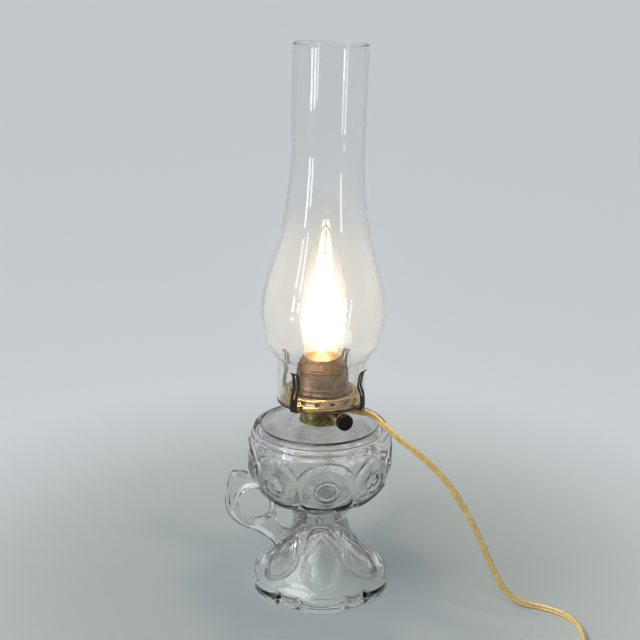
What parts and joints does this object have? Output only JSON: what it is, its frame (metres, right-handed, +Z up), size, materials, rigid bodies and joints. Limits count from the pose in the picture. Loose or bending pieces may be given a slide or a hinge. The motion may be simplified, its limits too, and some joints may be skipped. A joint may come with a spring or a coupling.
{
  "type": "electrified oil lamp",
  "caption": "Pressed-glass finger lamp on a flared foot, its oil burner replaced by a brass electric burner with a turn switch, a clear bulb, a tall glass chimney and a corded plug.",
  "frame": {"origin": "on the table, below the middle of the outline of glass and burner", "axes": "+Z up, the viewer of the picture looks along +Y, the finger handle points to -X, the cord leaves to +X"},
  "size_m": [0.3089, 0.2923, 0.4817],
  "materials": {
    "pressed_glass": "clear pressed glass, smooth and slightly wavy",
    "blown_glass": "clear thin blown glass",
    "polished_brass": "bright yellow brass, lightly tarnished",
    "aged_brass": "aged copper-brown, mottled, half gloss",
    "blackened_steel": "blackened, half gloss",
    "copper_sleeve": "copper-coloured, bright",
    "bright_steel": "bright nickel",
    "black_plastic": "moulded, half gloss",
    "plaster": "matt plaster",
    "fibre_liner": "matt pressed fibre",
    "lit_filament": "phosphor coat, lit warm",
    "gold_cord": "translucent gold cord insulation"
  },
  "bodies": {
    "lamp": {"pedestal_foot": "pressed_glass", "font_bowl": "pressed_glass", "finger_handle": "pressed_glass", "collar": "polished_brass", "collar_cement": "plaster", "burner_base": "polished_brass", "prong_ring": "blackened_steel", "gallery": "polished_brass", "burner_dome": "aged_brass", "socket_insulator": "black_plastic", "terminal_screw_1": "polished_brass", "terminal_screw_2": "polished_brass", "screw_shell": "polished_brass", "socket_liner": "fibre_liner", "centre_contact": "polished_brass", "knob_sleeve": "copper_sleeve", "strain_relief": "gold_cord", "cord_free": "gold_cord", "cord_coil": "gold_cord", "plug_body": "gold_cord", "plug_blade_neutral": "polished_brass", "plug_blade_line": "polished_brass"},
    "chimney_body": {"chimney": "blown_glass"},
    "bulb": {"bulb_glass": "blown_glass", "bulb_cap": "bright_steel", "bulb_cap_insulator": "black_plastic", "bulb_cap_contact": "bright_steel", "bulb_stem": "blown_glass", "filament_anchor": "bright_steel", "filament_1": "lit_filament", "filament_2": "lit_filament", "filament_3": "lit_filament", "filament_4": "lit_filament", "filament_lead_1": "bright_steel", "filament_lead_2": "bright_steel", "filament_lead_3": "bright_steel", "filament_lead_4": "bright_steel"},
    "knob": {"switch_knob": "black_plastic", "switch_shaft": "bright_steel"}
  },
  "joints": [
    {"name": "chimney_lift", "type": "slide", "parent": "lamp", "child": "chimney_body", "axis": [0.0279, 0, 0.9996], "range_m": [0, 0.165]},
    {"name": "bulb_withdraw", "type": "slide", "parent": "lamp", "child": "bulb", "axis": [0.0279, 0, 0.9996], "range_m": [0, 0.03]},
    {"name": "knob_turn", "type": "hinge", "parent": "lamp", "child": "knob", "pos_m": [0.01079, 0, 0.1701], "axis": [0.4693, -0.8829, -0.0131], "continuous": true}
  ]
}
